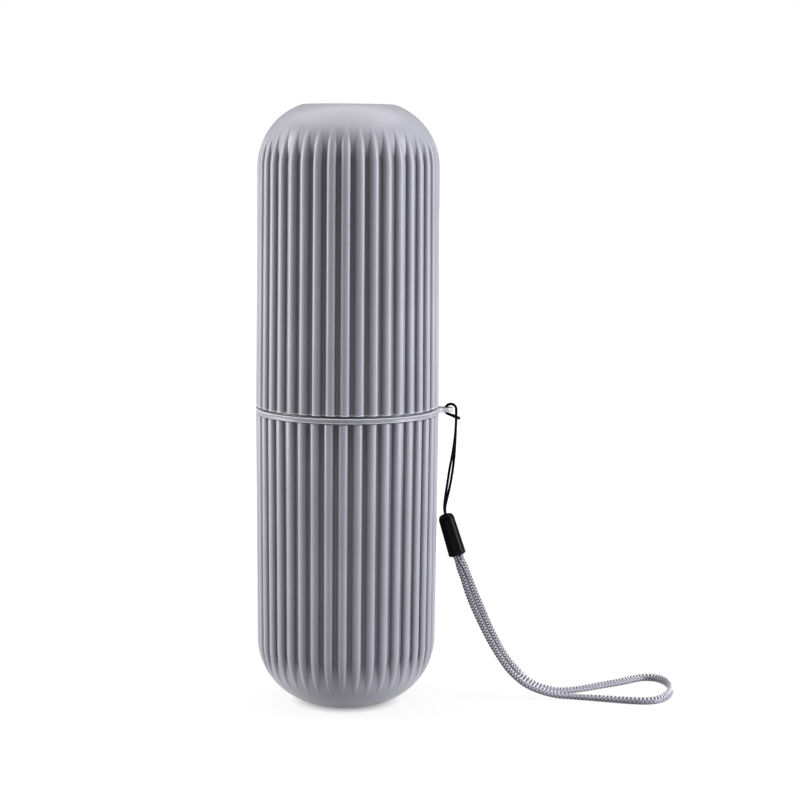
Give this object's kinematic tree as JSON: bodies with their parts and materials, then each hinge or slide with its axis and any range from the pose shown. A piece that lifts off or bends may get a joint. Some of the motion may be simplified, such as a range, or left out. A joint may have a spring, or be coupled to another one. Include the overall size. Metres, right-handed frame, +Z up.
{
  "type": "toothbrush travel case",
  "caption": "Capsule-shaped fluted travel case for a toothbrush: a cover that pulls off a cup, a turning ring with a lug, and a cord lanyard with a wrist loop.",
  "frame": {"origin": "centre of the flat base that the case stands on", "axes": "+Z up along the case's axis, -Y the front, +X towards the lug and the lanyard at rest"},
  "size_m": [0.1493, 0.0632, 0.207],
  "materials": {
    "shell": "satin moulded polypropylene, lilac grey",
    "ring": "milky, slightly translucent moulded plastic",
    "thin_cord": "thin black braided cord",
    "sleeve": "black moulded plastic, soft sheen",
    "splice": "dark binding round the cord ends",
    "braid": "grey braided cord with white flecks"
  },
  "bodies": {
    "cup": {"lower_cup": "shell"},
    "cover": {"upper_cover": "shell"},
    "ring": {"lanyard_ring": "ring"},
    "lanyard": {"hang_loop": "thin_cord", "cord_sleeve": "sleeve", "cord_splice": "splice", "wrist_strap": "braid"}
  },
  "joints": [
    {"name": "cover_slide", "type": "slide", "parent": "cup", "child": "cover", "axis": [0, 0, 1], "range_m": [0, 0.11]},
    {"name": "ring_turn", "type": "hinge", "parent": "cup", "child": "ring", "pos_m": [0, 0, 0.1028], "axis": [0, 0, 1], "continuous": true},
    {"name": "lanyard_swing", "type": "hinge", "parent": "ring", "child": "lanyard", "pos_m": [0.03585, 0, 0.1028], "axis": [0, -1, 0], "range_deg": [0, 90]}
  ]
}
